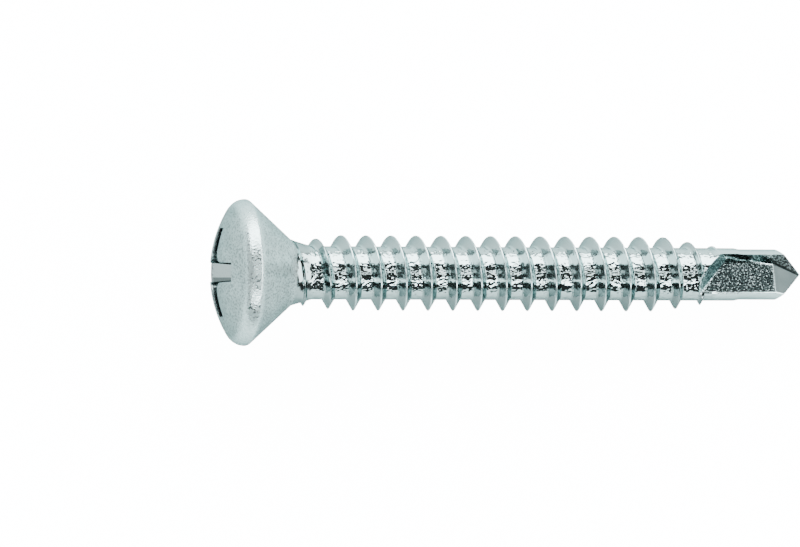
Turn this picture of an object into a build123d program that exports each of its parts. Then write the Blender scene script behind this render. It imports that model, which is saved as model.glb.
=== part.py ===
from build123d import *
from math import acos, asin, atan2, ceil, cos, degrees, floor, hypot, radians, sin, sqrt, tan
import os

# Self drilling screw with a raised countersunk head and a cross recess, cold formed in one piece.
# It is drawn along +X: the head's rim lies at x = 0 and the drill point faces +X.
# lay_down() then sets it on its head's rim and its thread, as a dropped screw comes to rest,
# with the side that was drawn facing -Y turned up.
# Lengths are in millimetres, angles in degrees, and "at" names a place along the screw's axis.

# Head
head_d = 8.00
dome_height = 1.75
dome_edge_r = 0.85
seat_edge_r = 0.25
seat_angle = 83.4

# Neck and core
neck_d = 3.62
neck_taper = 1.20
core_d = 2.92

# Thread, right handed
thread_d = 4.20
pitch = 1.41
flank_angle = 64
crest_top_at = 5.40
run_in_at = 2.40
run_in_d = 3.64
run_in_r = 13.9
run_out_length = 3.55
sections_per_turn = 16

# Drill point, with lengths back from its tip
screw_length = 31.65
drill_d = 2.80
drill_length = 3.60
drill_taper = 0.27
thread_gap = 0.60
point_angle = 100
point_corner_r = 0.12
relief_angle = 43

# Flutes: the land's cutting corner, the deep corner and the floor, seen along the axis
flute_length = 5.90
flute_ramp_length = 1.68
flute_slant = 28
flute_start_lean = 45
land_corner = 37.5
floor_lean = 20
web = 0.58
web_tip = 0.10
deep_rise_start = 0.92
deep_rise = 0.57
deep_rise_tip = -0.12

# Cross recess, size 2
recess_span = 4.85
recess_depth = 2.57
recess_bottom_span = 2.29
wing_width = 1.03
wing_width_bottom = 0.56
wing_corner_r = 0.63
recess_point_angle = 140

# How far the screw is turned about its own axis as it lies
roll = -82

# How far a cutting shape reaches past the surface that it cuts, and the thread into the core
overrun = 0.60
root_overlap = 0.04

head_r = head_d / 2
neck_r = neck_d / 2
core_r = core_d / 2
thread_r = thread_d / 2
drill_r = drill_d / 2
half_seat = radians(seat_angle / 2)
half_flank = radians(flank_angle / 2)
half_point = radians(point_angle / 2)

drill_taper_at = screw_length - drill_length - drill_taper
run_out_at = drill_taper_at - thread_gap - run_out_length

# The dome is a sphere cap that meets the rounding of its edge tangentially
edge_ring_r = head_r - dome_edge_r
dome_r = (dome_height**2 + edge_ring_r**2 - dome_edge_r**2) / (2 * (dome_height - dome_edge_r))
dome_centre_at = dome_r - dome_height

# The seat cone leaves the rim's back rounding tangentially and ends at the neck
seat_start_at = seat_edge_r * sin(half_seat)
seat_start_r = head_r - seat_edge_r + seat_edge_r * cos(half_seat)
neck_at = seat_start_at + (seat_start_r - neck_r) / tan(half_seat)


def turned(*edges):
    """A solid turned about the screw's axis from a closed outline."""
    return revolve(make_face(Wire(edges)), Axis.X, 360)


def line(*points):
    return Polyline(*points).edges()


def arc_point(at, ring_r, r, angle):
    """A point of a rounding, by the direction of its outward normal from the axis's +X."""
    return at + r * cos(radians(angle)), ring_r + r * sin(radians(angle))


def blank():
    """Head, neck, core and pointed end, as one turned outline."""
    dome_end_angle = 180 - degrees(atan2(edge_ring_r, dome_centre_at))
    dome_mid_angle = (180 + dome_end_angle) / 2
    dome_top = (-dome_height, 0)
    dome_end = arc_point(dome_centre_at, 0, dome_r, dome_end_angle)
    dome = ThreePointArc(dome_top, arc_point(dome_centre_at, 0, dome_r, dome_mid_angle), dome_end)
    rim = (0, head_r)
    front_mid = arc_point(0, edge_ring_r, dome_edge_r, (dome_end_angle + 90) / 2)
    front = ThreePointArc(dome_end, front_mid, rim)
    seat_start = (seat_start_at, seat_start_r)
    back_mid_angle = (180 - degrees(half_seat)) / 2
    back_mid = arc_point(0, head_r - seat_edge_r, seat_edge_r, back_mid_angle)
    back = ThreePointArc(rim, back_mid, seat_start)
    corner_at = screw_length - drill_r / tan(half_point)
    corner_cut = point_corner_r * tan((radians(90) - half_point) / 2)
    corner_start = (corner_at - corner_cut, drill_r)
    corner_turn = 90 - degrees(half_point)
    corner_mid = arc_point(corner_start[0], drill_r - point_corner_r, point_corner_r, 90 - corner_turn / 2)
    corner_end = arc_point(corner_start[0], drill_r - point_corner_r, point_corner_r, 90 - corner_turn)
    shank = line(
        seat_start,
        (neck_at, neck_r),
        (neck_at + neck_taper, core_r),
        (drill_taper_at, core_r),
        (drill_taper_at + drill_taper, drill_r),
        corner_start,
    )
    corner = ThreePointArc(corner_start, corner_mid, corner_end)
    end = line(corner_end, (screw_length, 0), dome_top)
    return turned(dome, front, back, *shank, corner, *end)


def crest_r(at):
    """The thread's outer radius: low under the head, full along the shank, then fading out."""
    from_low = min(abs(at - run_in_at), run_in_r)
    run_in = run_in_d / 2 + run_in_r - sqrt(run_in_r**2 - from_low**2)
    run_out = thread_r - (thread_r - core_r) * (at - run_out_at) / run_out_length
    return min(thread_r, run_in, run_out)


def ridge_section(step):
    """The sharp ridge across the helix, so many steps round it from the first crest on top."""
    at = crest_top_at + step * pitch / sections_per_turn
    foot_r = core_r - root_overlap
    foot = (crest_r(at) - foot_r) * tan(half_flank)
    section = Polyline((at - foot, 0, foot_r), (at + foot, 0, foot_r), (at, 0, crest_r(at)), close=True)
    return Rot(360 * step / sections_per_turn, 0, 0) * make_face(section)


def thread():
    """The turns of the ridge, from inside the head to where the last one sinks into the core."""
    step_length = pitch / sections_per_turn
    foot = (thread_r - core_r + root_overlap) * tan(half_flank)
    first = -ceil((crest_top_at - neck_at + foot) / step_length)
    last = floor((run_out_at + run_out_length - crest_top_at) / step_length) + 1
    starts = range(first, last, sections_per_turn)
    spans = [range(start, min(start + sections_per_turn, last) + 1) for start in starts]
    return [loft([ridge_section(step) for step in span]) for span in spans]


def flute_section(at, slant, lean_back, web_here, rise):
    """The flute across the axis: from the land's corner in to the deep corner, then down the floor."""
    lean = radians(floor_lean)
    deep_y = -(web_here - rise * sin(lean)) / cos(lean)
    corner_y = -drill_r * sin(radians(land_corner))
    corner_z = drill_r * cos(radians(land_corner))
    wall = hypot(corner_y - deep_y, corner_z - rise)
    out = 1 + overrun / wall
    lip = (deep_y + (corner_y - deep_y) * out, rise + (corner_z - rise) * out)
    floor_run = drill_d
    heel = (deep_y - floor_run * sin(lean), rise - floor_run * cos(lean))
    away = -drill_d
    points = [(deep_y, rise), lip, (away, lip[1]), (away, heel[1]), heel]
    tilt = tan(radians(slant))
    slope = tan(radians(lean_back))
    return make_face(Polyline(*[(at + z * tilt + (y + drill_r) * slope, y, z) for y, z in points], close=True))


def flute():
    start_at = screw_length - flute_length
    ramp_at = screw_length - flute_ramp_length
    sections = [
        flute_section(start_at, flute_slant, flute_start_lean, web, deep_rise_start),
        flute_section(ramp_at, 0, 0, web, deep_rise),
        flute_section(screw_length, 0, 0, web_tip, deep_rise_tip),
    ]
    return loft(sections, ruled=True)


def recess():
    """The cross recess: tapered wings with round inner corners, then the driver's blunt point."""
    top_at = dome_centre_at - sqrt(dome_r**2 - (recess_span / 2) ** 2)
    bottom_at = top_at + recess_depth
    out = 1 + (top_at + dome_height + overrun) / recess_depth
    depth = recess_depth * out
    span_step = (recess_span - recess_bottom_span) / 2 * out
    width_step = (wing_width - wing_width_bottom) / 2 * out
    mouth_span = recess_bottom_span + 2 * span_step
    mouth_width = wing_width_bottom + 2 * width_step
    far = (mouth_span - span_step, mouth_width - width_step)
    wedge = Wedge(mouth_span, depth, mouth_width, span_step, width_step, *far)
    wing = Pos(bottom_at - depth / 2, 0, 0) * Rot(0, 0, -90) * wedge
    cross = wing + Rot(90, 0, 0) * wing
    along = cross.edges().filter_by(lambda e: abs((e % 0.5).X) > cos(half_seat))
    inner = along.filter_by(lambda e: hypot(e.center().Y, e.center().Z) < wing_width)
    wings = fillet(inner, wing_corner_r)
    bottom = wings.faces().sort_by(Axis.X)[-1]
    point_r = hypot(recess_bottom_span, wing_width_bottom) / 2 + overrun / 10
    point_depth = point_r / tan(radians(recess_point_angle / 2))
    point = turned(*line((bottom_at, 0), (bottom_at, point_r), (bottom_at + point_depth, 0), (bottom_at, 0)))
    return wings + (extrude(bottom, point_depth) & point)


def relief():
    """What is ground off behind one land's lip: the point falls away from the lip to the heel."""
    flat = radians(relief_angle)
    behind = degrees(acos(tan(flat) / tan(half_point)))
    block = Box(screw_length, head_d, head_d, align=(Align.CENTER, Align.CENTER, Align.MIN))
    return Pos(screw_length, 0, 0) * Rot(land_corner - behind, 0, 0) * Rot(0, relief_angle, 0) * block


def rest_tilt():
    """The angle from level at which the head's rim and the last full crest below touch one plane."""
    below_at = crest_top_at + pitch * (180 - roll) / 360
    last_at = below_at + floor((run_out_at - below_at) / pitch) * pitch
    drop = head_r - seat_edge_r - thread_r
    return degrees(atan2(drop, last_at) + asin(seat_edge_r / hypot(drop, last_at)))


def lay_down(screw):
    laid = Rot(0, rest_tilt(), 0) * Rot(roll, 0, 0) * screw
    box = laid.bounding_box()
    return Pos(-box.center().X, 0, -box.min.Z) * laid


ground = flute() + relief()
screw = blank().fuse(*thread()) - recess() - ground - Rot(180, 0, 0) * ground

os.makedirs("parts", exist_ok=True)
export_step(lay_down(screw), "parts/drilling_screw.step")
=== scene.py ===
import bpy
import math
from types import SimpleNamespace
from mathutils import Matrix, Vector


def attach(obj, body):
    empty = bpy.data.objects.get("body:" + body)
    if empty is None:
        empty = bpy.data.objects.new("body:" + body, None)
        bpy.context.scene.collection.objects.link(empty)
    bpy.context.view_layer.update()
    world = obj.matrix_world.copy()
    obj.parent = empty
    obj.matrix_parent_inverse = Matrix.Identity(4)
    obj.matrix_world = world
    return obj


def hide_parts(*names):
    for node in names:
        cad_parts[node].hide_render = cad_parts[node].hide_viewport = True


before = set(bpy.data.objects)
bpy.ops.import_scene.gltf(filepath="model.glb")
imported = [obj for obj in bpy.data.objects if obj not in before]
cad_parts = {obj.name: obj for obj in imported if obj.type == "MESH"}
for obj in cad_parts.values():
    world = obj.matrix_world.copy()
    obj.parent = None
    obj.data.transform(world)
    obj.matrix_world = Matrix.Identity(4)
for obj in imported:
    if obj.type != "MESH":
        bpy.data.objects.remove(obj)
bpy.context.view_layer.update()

MM = 0.001

# The camera and its picture
CAMERA_DISTANCE = 393.6 * MM
CAMERA_AIM = 14 * MM
SENSOR_WIDTH = 36
FOCAL_PIXELS = 7178
PICTURE_PIXELS = 800

# The light table, its room and the soft boxes, in metres
PAPER_SIZE = 24
PAPER_COLOUR = (0.73, 0.8, 0.8, 1)
PAPER_GLOW = 14
BACKDROP_GLOW = 16
ROOM_COLOUR = (0.88, 1, 1, 1)
ROOM_LIGHT = 0.04
COOL_WHITE = (0.92, 1, 1)
BOX_DISTANCE = 3
SIDE_BOX_LENGTH = 6
END_BOX_LENGTH = 3

# The screw's own line: it is drawn along X from the head's rim, then laid down on rim and thread
LAY_TILT = math.radians(4.654712)
LAY_ROLL = math.radians(-82)
LAY_SHIFT = Vector((-14.904519, 0, 3.987699)) * MM
laid_down = (
    Matrix.Translation(LAY_SHIFT)
    @ Matrix.Rotation(LAY_TILT, 4, "Y")
    @ Matrix.Rotation(LAY_ROLL, 4, "X")
)

# Places on that line, in millimetres from the rim, between which one finish gives way to the next
DOME_ENDS = (-0.1, 0.1)
RIM_ENDS = (0.15, 0.45)
SHANK_STARTS = (2.45, 2.65)
FLUTES_START = (25.6, 25.7)
DRILL_STARTS = (26.2, 26.6)
POINT_STARTS = (29.9, 30.0)

# The same away from the line
IN_FLUTES = (1.33, 1.37)
CORE_TOP = (1.48, 1.60)
CREST_STARTS = (2.02, 2.04)
DOME_EDGE = (3.3, 3.7)
RIM_STARTS = (3.5, 3.8)

# The dome's sphere, and the recess below it, which narrows from its mouth to its bottom
DOME_R = 6.813
DOME_CENTRE = 5.063
BELOW_DOME = (DOME_R - 0.18, DOME_R - 0.03)
RECESS_NARROWS = (-1, 1.6)
RECESS_R = (2.46, 1.3)
RECESS_MARGIN = 0.06
RECESS_ENDS = (1.7, 1.9)

# Lines that fall towards the point: the place where their height is read, and their slope
DEEP_CORNER = (27.2, 0.131)
LIP = (30.1, 0.436)

# How far the flutes' start leans towards the point, for each millimetre up
FLUTE_START_LEAN = 0.79

# Relief of each finish, in millimetres
DOME_RELIEF = 0.012
RIM_RELIEF = 0.024
FLANK_RELIEF = 0.012
CORE_RELIEF = 0.062
DRILL_RELIEF = 0.002
FLUTE_RELIEF = 0.006

# Roughness of each finish, and how much it wanders
HEAD_ROUGH = 0.34
FLANK_ROUGH = 0.13
DRILL_ROUGH = 0.14
CORE_ROUGH = 0.08
CREST_ROUGH = 0.14
FLUTE_ROUGH = 0.16
POINT_ROUGH = 0.30
RECESS_ROUGH = 0.12
ROUGH_WANDER = 0.16

# Shade of each part, from tarnish and painted shade at 0 to zinc at 1, and on to brighter zinc;
# some are painted shade or painted highlight, as marked
TARNISH_AND_PAINTED_SHADE = (0.014, 0.020, 0.020, 1)
ZINC = (0.57, 0.68, 0.68, 1)
ZINC_EDGE_TINT = (0.45, 0.55, 0.55, 1)
CONE_SHADE = 1.08
# painted shade: the dome darker than the cone
DOME_PAINTED_SHADE = 0.80
# painted highlight: the rim brighter than the rest of the head
RIM_PAINTED_HIGHLIGHT = 1.15
# painted shade: the thread's flanks darker
FLANK_PAINTED_SHADE = 0.66
CORE_SHADE = 1
# painted highlight: a bright line along the thread's crests
CREST_PAINTED_HIGHLIGHT = 1.3
DRILL_SHADE = 1.15
# painted highlight along the flute's deep corner
DEEP_CORNER_PAINTED_HIGHLIGHT = 1.45
# painted shade on the point's face below the lip
LIP_FACE_PAINTED_SHADE = 0.12

# Corners closer than this are one corner, and flatter edges than this are smooth
SAME_CORNER = 0.014 * MM
SMOOTH_BELOW = math.radians(30)


def set_camera():
    """Looks down on the screw as the photograph does, a little from the head's end."""
    side = math.radians(15.277)
    roll = math.radians(0.2269)
    turn = math.radians(0.7398)
    forward = Vector((math.sin(side), math.cos(side), 0))
    eye = Vector((CAMERA_AIM, 0, 0)) - CAMERA_DISTANCE * forward
    flat_right = Vector((math.cos(side), -math.sin(side), 0))
    flat_up = Vector((0, 0, 1))
    right = math.cos(roll) * flat_right + math.sin(roll) * flat_up
    up = math.cos(roll) * flat_up - math.sin(roll) * flat_right
    look = math.cos(turn) * forward - math.sin(turn) * right
    right = math.cos(turn) * right + math.sin(turn) * forward
    axes = Matrix((right, up, -look)).transposed().to_4x4()
    camera = bpy.data.objects.new("camera", bpy.data.cameras.new("camera"))
    camera.data.sensor_width = SENSOR_WIDTH
    camera.data.lens = FOCAL_PIXELS * SENSOR_WIDTH / PICTURE_PIXELS
    camera.matrix_world = laid_down @ Matrix.Translation(eye) @ axes
    bpy.context.scene.collection.objects.link(camera)
    bpy.context.scene.camera = camera


def soft_box(name, turn, length, width, radiance):
    """An even soft box that faces the screw, turned round it from straight above."""
    light = bpy.data.lights.new(name, "AREA")
    light.shape = "RECTANGLE"
    light.size = length
    light.size_y = width
    light.energy = radiance * math.pi * light.size * light.size_y
    light.color = COOL_WHITE
    lamp = bpy.data.objects.new(name, light)
    lamp.matrix_world = turn @ Matrix.Translation((0, 0, BOX_DISTANCE))
    lamp.visible_camera = False
    bpy.context.scene.collection.objects.link(lamp)


def width_seen_as(angle):
    """The width that a soft box needs to fill an angle, in degrees, as the screw sees it."""
    return 2 * BOX_DISTANCE * math.tan(math.radians(angle / 2))


def side_box(name, angle, width, radiance, length=SIDE_BOX_LENGTH):
    """A soft box along the screw; its angle goes from the camera's line to the picture's top."""
    lean = angle - math.degrees(LAY_ROLL) - 90
    turn = Matrix.Rotation(math.radians(-lean), 4, "X")
    soft_box(name, turn, length, width_seen_as(width), radiance)


def end_box(name, angle, width, radiance):
    """A soft box across one end of the screw; its angle goes from straight up to the point."""
    turn = Matrix.Rotation(math.radians(angle), 4, "Y")
    soft_box(name, turn, width_seen_as(width), END_BOX_LENGTH, radiance)


def lit_or_seen(tree, lit, seen, surface):
    """Sends the first shader to bounced light, and the second to the camera."""
    rays = tree.nodes.new("ShaderNodeLightPath")
    choose = tree.nodes.new("ShaderNodeMixShader")
    tree.links.new(rays.outputs["Is Camera Ray"], choose.inputs["Fac"])
    tree.links.new(lit, choose.inputs[1])
    tree.links.new(seen, choose.inputs[2])
    tree.links.new(choose.outputs[0], surface)


def paper_material():
    """White paper that the camera sees burnt out, as on a light table; reflections see it lit."""
    paper = bpy.data.materials.new("white_paper")
    paper.use_nodes = True
    tree = paper.node_tree
    tree.nodes.clear()
    diffuse = tree.nodes.new("ShaderNodeBsdfDiffuse")
    diffuse.inputs["Color"].default_value = PAPER_COLOUR
    glow = tree.nodes.new("ShaderNodeEmission")
    glow.inputs["Strength"].default_value = PAPER_GLOW
    both = tree.nodes.new("ShaderNodeAddShader")
    tree.links.new(diffuse.outputs[0], both.inputs[0])
    tree.links.new(glow.outputs[0], both.inputs[1])
    output = tree.nodes.new("ShaderNodeOutputMaterial")
    lit_or_seen(tree, diffuse.outputs[0], both.outputs[0], output.inputs["Surface"])
    return paper


def lay_paper():
    bpy.ops.object.select_all(action="DESELECT")
    bpy.ops.mesh.primitive_plane_add(size=PAPER_SIZE)
    floor = bpy.context.object
    floor.name = "floor"
    floor.data.materials.append(paper_material())


def set_world():
    """A dim room for the reflections, and the same white as the paper behind it all."""
    world = bpy.data.worlds.new("studio")
    bpy.context.scene.world = world
    world.use_nodes = True
    tree = world.node_tree
    room = tree.nodes["Background"]
    room.inputs["Color"].default_value = ROOM_COLOUR
    room.inputs["Strength"].default_value = ROOM_LIGHT
    white = tree.nodes.new("ShaderNodeBackground")
    white.inputs["Strength"].default_value = BACKDROP_GLOW
    surface = tree.nodes["World Output"].inputs["Surface"]
    lit_or_seen(tree, room.outputs[0], white.outputs[0], surface)


class Nodes:
    """Short ways to add the maths of a finish to a material's nodes."""

    def __init__(self, tree):
        self.nodes, self.links = tree.nodes, tree.links

    def fill(self, socket, value):
        """Sets a plain number on the socket, or links another node to it."""
        if isinstance(value, (int, float)):
            socket.default_value = value
        else:
            self.links.new(value, socket)

    def maths(self, operation, *values):
        node = self.nodes.new("ShaderNodeMath")
        node.operation = operation
        for socket, value in zip(node.inputs, values):
            self.fill(socket, value)
        return node.outputs[0]

    def plus(self, first, second):
        return self.maths("ADD", first, second)

    def minus(self, first, second):
        return self.maths("SUBTRACT", first, second)

    def times(self, first, *others):
        for other in others:
            first = self.maths("MULTIPLY", first, other)
        return first

    def length(self, first, second):
        """The long side of a right-angled triangle with these two short ones."""
        return self.maths("SQRT", self.plus(self.times(first, first), self.times(second, second)))

    def ramp(self, value, low, high, out_low=0.0, out_high=1.0):
        """Goes smoothly from out_low to out_high as the value goes from low to high."""
        node = self.nodes.new("ShaderNodeMapRange")
        node.interpolation_type = "SMOOTHSTEP"
        self.fill(node.inputs["From Min"], low)
        self.fill(node.inputs["From Max"], high)
        self.fill(node.inputs["To Min"], out_low)
        self.fill(node.inputs["To Max"], out_high)
        self.links.new(value, node.inputs["Value"])
        return node.outputs[0]

    def fade(self, value, low, high):
        """Goes smoothly from 1 to 0 as the value goes from low to high."""
        return self.ramp(value, low, high, 1, 0)

    def mix(self, factor, first, second):
        """Goes from the first value to the second as the factor goes from 0 to 1."""
        return self.plus(self.times(self.minus(second, first), factor), first)

    def coats(self, value, *coats):
        """Lays coats over the value, each where its mask is 1."""
        for mask, coat in coats:
            value = self.mix(mask, value, coat)
        return value

    def noise(self, place, scale, detail, roughness=0.5):
        node = self.nodes.new("ShaderNodeTexNoise")
        node.inputs["Scale"].default_value = scale
        node.inputs["Detail"].default_value = detail
        node.inputs["Roughness"].default_value = roughness
        self.links.new(place, node.inputs["Vector"])
        return node.outputs["Fac"]

    def joined(self, parts):
        node = self.nodes.new("ShaderNodeCombineXYZ")
        for socket, part in zip(node.inputs, parts):
            self.links.new(part, socket)
        return node.outputs[0]


def along_the_screw(make):
    """Object coordinates turned back to the screw's own line: along, across, up, in millimetres."""
    place = make.nodes.new("ShaderNodeTexCoord").outputs["Object"]
    back = laid_down.inverted()
    parts = []
    for row in (back.row[i] for i in range(3)):
        dot = make.nodes.new("ShaderNodeVectorMath")
        dot.operation = "DOT_PRODUCT"
        dot.inputs[1].default_value = (row[0] / MM, row[1] / MM, row[2] / MM)
        make.links.new(place, dot.inputs[0])
        parts.append(make.plus(dot.outputs["Value"], row[3] / MM))
    return parts


def find_zones(make, along, across, up):
    """A mask for each part of the screw that has a finish of its own: 1 on it, 0 off it."""
    radius = make.length(across, up)
    in_flute = make.times(make.ramp(along, *FLUTES_START), make.fade(radius, *IN_FLUTES))
    shank = make.ramp(along, *SHANK_STARTS)
    drill = make.ramp(along, *DRILL_STARTS)
    to_dome = make.length(make.minus(along, DOME_CENTRE), radius)
    recess_r = make.ramp(along, *RECESS_NARROWS, *RECESS_R)
    return SimpleNamespace(
        dome=make.times(make.fade(radius, *DOME_EDGE), make.fade(along, *DOME_ENDS)),
        rim=make.times(make.ramp(radius, *RIM_STARTS), make.fade(along, *RIM_ENDS)),
        recess=make.times(
            make.fade(to_dome, *BELOW_DOME),
            make.fade(radius, recess_r, make.plus(recess_r, RECESS_MARGIN)),
            make.fade(along, *RECESS_ENDS),
        ),
        shank=shank,
        core=make.times(shank, make.fade(radius, *CORE_TOP), make.minus(1, drill)),
        crest=make.times(shank, make.ramp(radius, *CREST_STARTS)),
        drill=drill,
        flute=make.times(in_flute, make.fade(along, *POINT_STARTS)),
        point=make.times(in_flute, make.ramp(along, *POINT_STARTS)),
    )


def find_patterns(make, place):
    """The patterns of the plating, from coarse to fine."""
    return SimpleNamespace(
        cloud=make.noise(place, 1.3, detail=3, roughness=0.6),
        pits=make.noise(place, 4.2, detail=1),
        satin=make.noise(place, 8, detail=1),
        grain=make.noise(place, 10, detail=0.6),
        grit=make.noise(place, 14, detail=0.5),
    )


def relief(make, zone, pattern):
    """Satin on the head, flat in the recess, pitted on the core and even on the crests."""
    satin = make.times(pattern.satin, make.mix(zone.rim, DOME_RELIEF, RIM_RELIEF))
    return make.coats(
        satin,
        (zone.recess, 0),
        (zone.shank, make.times(pattern.pits, FLANK_RELIEF)),
        (zone.drill, make.times(pattern.grain, DRILL_RELIEF)),
        (zone.core, make.times(pattern.pits, CORE_RELIEF)),
        (zone.crest, 0),
        (zone.flute, make.times(pattern.grain, FLUTE_RELIEF)),
    )


def roughness(make, zone, pattern):
    """Satin on the head, with glossy spots on its rim, and brighter on the shank."""
    glossy_spots = make.ramp(pattern.satin, 0.50, 0.60, 0.36, 0.18)
    rough = make.coats(
        HEAD_ROUGH,
        (zone.rim, glossy_spots),
        (zone.shank, FLANK_ROUGH),
        (zone.drill, DRILL_ROUGH),
        (zone.core, CORE_ROUGH),
        (zone.crest, CREST_ROUGH),
        (zone.flute, FLUTE_ROUGH),
        (zone.point, POINT_ROUGH),
    )
    wander = make.times(make.minus(pattern.cloud, 0.5), ROUGH_WANDER)
    return make.mix(zone.recess, make.plus(rough, wander), RECESS_ROUGH)


def height_over(make, line, along, front_up):
    """How far a spot lies above a line that falls towards the point."""
    start_at, fall = line
    return make.plus(front_up, make.times(make.minus(along, start_at), fall))


def head_shade(make, zone, pattern):
    """Zinc with small dark specks and broad clouds; the dome is darker as painted shade, and the
    rim even and brighter as a painted highlight.
    """
    specks = make.ramp(pattern.grain, 0.34, 0.56, 0.55, 1)
    clouds = make.ramp(pattern.cloud, 0.35, 0.65, 0.82, 0.98)
    head = make.times(specks, clouds, make.mix(zone.dome, CONE_SHADE, DOME_PAINTED_SHADE))
    return make.mix(zone.rim, head, RIM_PAINTED_HIGHLIGHT)


def recess_painted_shade(make, front_up):
    """Painted shade in the recess: half dark across the middle, dark above it and below it."""
    above = make.ramp(front_up, 0.55, 0.9, 0.12, 0.22)
    upper = make.mix(make.ramp(front_up, 0.24, 0.30), 0.42, above)
    return make.times(upper, make.ramp(front_up, -0.70, -0.60, 0.5, 1))


def flute_painted_shade(make, pattern, along, front_up):
    """Painted shade in the flute over its grit: a dark floor, a less dark speckled wall and start,
    and a painted highlight along the deep corner.
    """
    over_corner = height_over(make, DEEP_CORNER, along, front_up)
    # painted highlight: a bright line along the deep corner
    corner_highlight_mask = make.times(make.ramp(over_corner, 0.87, 0.90), make.fade(over_corner, 0.92, 0.95))
    from_start = make.minus(along, make.times(front_up, FLUTE_START_LEAN))
    return make.coats(
        make.ramp(pattern.grit, 0.52, 0.68, 0, 0.38),
        (make.ramp(over_corner, 0.91, 0.95), make.ramp(pattern.grain, 0.47, 0.62, 0.25, 1.4)),
        (make.fade(from_start, 26.52, 26.60), make.ramp(pattern.grit, 0.42, 0.60, 0.35, 1.2)),
        (corner_highlight_mask, DEEP_CORNER_PAINTED_HIGHLIGHT),
    )


def point_shade(make, pattern, along, front_up):
    """The face below the lip darkened as painted shade, and the speckled ground above it."""
    speckled = make.ramp(pattern.satin, 0.42, 0.58, 0.2, 0.95)
    over_lip = height_over(make, LIP, along, front_up)
    return make.ramp(over_lip, 0.62, 0.68, LIP_FACE_PAINTED_SHADE, speckled)


# colour by part, with painted shade on the dome, flanks, recess, flutes and lip face, and painted
# highlights on the rim, crests and deep corner
def shade(make, zone, pattern, along, front_up):
    return make.coats(
        head_shade(make, zone, pattern),
        (zone.recess, recess_painted_shade(make, front_up)),
        (zone.shank, FLANK_PAINTED_SHADE),
        (zone.core, CORE_SHADE),
        (zone.crest, CREST_PAINTED_HIGHLIGHT),
        (zone.drill, DRILL_SHADE),
        (zone.flute, flute_painted_shade(make, pattern, along, front_up)),
        (zone.point, point_shade(make, pattern, along, front_up)),
    )


def zinc_material():
    """Bright zinc: satin head, pitted core, smoother thread and gritty flutes, with painted shade
    and painted highlights in its colour.
    """
    zinc = bpy.data.materials.new("zinc_plated_steel")
    zinc.use_nodes = True
    tree = zinc.node_tree
    make = Nodes(tree)
    along, across, up = along_the_screw(make)
    zone = find_zones(make, along, across, up)
    pattern = find_patterns(make, make.joined((along, across, up)))

    # the back is the front turned half round, so this height above the axis reads the same on both
    front_up = make.times(up, make.times(make.maths("SIGN", across), -1))

    bump = tree.nodes.new("ShaderNodeBump")
    bump.inputs["Distance"].default_value = MM
    tree.links.new(relief(make, zone, pattern), bump.inputs["Height"])
    colour = tree.nodes.new("ShaderNodeMix")
    colour.data_type = "RGBA"
    colour.clamp_factor = False
    colour.inputs["A"].default_value = TARNISH_AND_PAINTED_SHADE
    colour.inputs["B"].default_value = ZINC
    tree.links.new(shade(make, zone, pattern, along, front_up), colour.inputs["Factor"])

    shader = tree.nodes["Principled BSDF"]
    tree.links.new(bump.outputs[0], shader.inputs["Normal"])
    tree.links.new(roughness(make, zone, pattern), shader.inputs["Roughness"])
    tree.links.new(colour.outputs["Result"], shader.inputs["Base Color"])
    shader.inputs["Metallic"].default_value = 1
    shader.inputs["Specular Tint"].default_value = ZINC_EDGE_TINT
    return zinc


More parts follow.
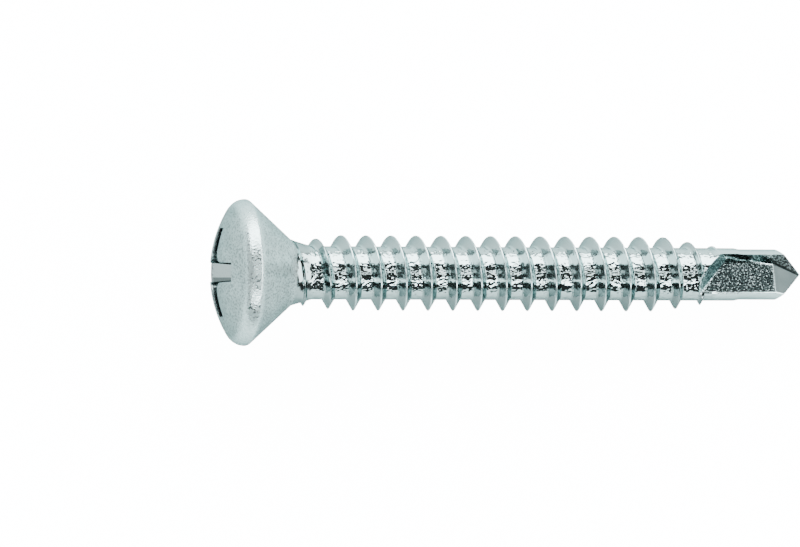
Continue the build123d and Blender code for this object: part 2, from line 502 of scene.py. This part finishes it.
def round_edges(piece, wanted, width, segments, sharper_than):
    """Rounds the sharp edges whose middle is wanted, by its place along and off the axis."""
    bpy.context.view_layer.objects.active = piece
    bpy.ops.object.mode_set(mode="EDIT")
    bpy.ops.mesh.select_mode(type="EDGE")
    bpy.ops.mesh.select_all(action="DESELECT")
    bpy.ops.mesh.edges_select_sharp(sharpness=math.radians(sharper_than))
    bpy.ops.object.mode_set(mode="OBJECT")
    mesh = piece.data
    back = laid_down.inverted()
    for edge in mesh.edges:
        if edge.select:
            ends = [mesh.vertices[i].co for i in edge.vertices]
            middle = back @ ((ends[0] + ends[1]) / 2)
            edge.select = wanted(middle.x / MM, math.hypot(middle.y, middle.z) / MM)
    for part in (*mesh.vertices, *mesh.polygons):
        part.select = False
    bpy.ops.object.mode_set(mode="EDIT")
    bpy.ops.mesh.bevel(
        offset=width * MM,
        segments=segments,
        affect="EDGES",
        clamp_overlap=False,
        harden_normals=True,
    )
    bpy.ops.object.mode_set(mode="OBJECT")


def on_thread_crest(along, radius):
    return 2.95 < along < 25.4 and radius > 1.62


def at_thread_root(along, radius):
    return 3.9 < along < 25.4 and radius < 1.52


def on_recess_mouth(along, radius):
    return along < -0.2 and radius < 2.6


def finished_screw(node):
    """The screw with rounded crests, roots and recess; the drill's edges stay sharp."""
    bpy.ops.object.select_all(action="DESELECT")
    piece = bpy.data.objects.new("screw_finished", node.data.copy())
    bpy.context.scene.collection.objects.link(piece)
    piece.data.materials.clear()
    bpy.context.view_layer.objects.active = piece
    piece.select_set(True)
    bpy.ops.object.mode_set(mode="EDIT")
    bpy.ops.mesh.select_all(action="SELECT")
    bpy.ops.mesh.remove_doubles(threshold=SAME_CORNER)
    bpy.ops.object.mode_set(mode="OBJECT")
    if piece.data.has_custom_normals:
        bpy.ops.mesh.customdata_custom_splitnormals_clear()
    bpy.ops.object.shade_smooth_by_angle(angle=SMOOTH_BELOW)
    round_edges(piece, on_thread_crest, width=0.065, segments=3, sharper_than=60)
    round_edges(piece, at_thread_root, width=0.03, segments=2, sharper_than=28)
    round_edges(piece, on_recess_mouth, width=0.015, segments=2, sharper_than=50)
    return piece


set_camera()
lay_paper()
set_world()
side_box("long_box", angle=66, width=47, radiance=9)
side_box("narrow_strip", angle=-40, width=12, radiance=10)
side_box("middle_strip", angle=5, width=12, radiance=3.6, length=4.4)
end_box("head_end_panel", angle=-68, width=36, radiance=0.7)
end_box("point_end_panel", angle=60, width=24, radiance=6.5)

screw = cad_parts["drilling_screw"]
zinc = zinc_material()
screw.data.materials.clear()
screw.data.materials.append(zinc)
finished = finished_screw(screw)
finished.data.materials.append(zinc)
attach(finished, "root")
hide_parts("drilling_screw")
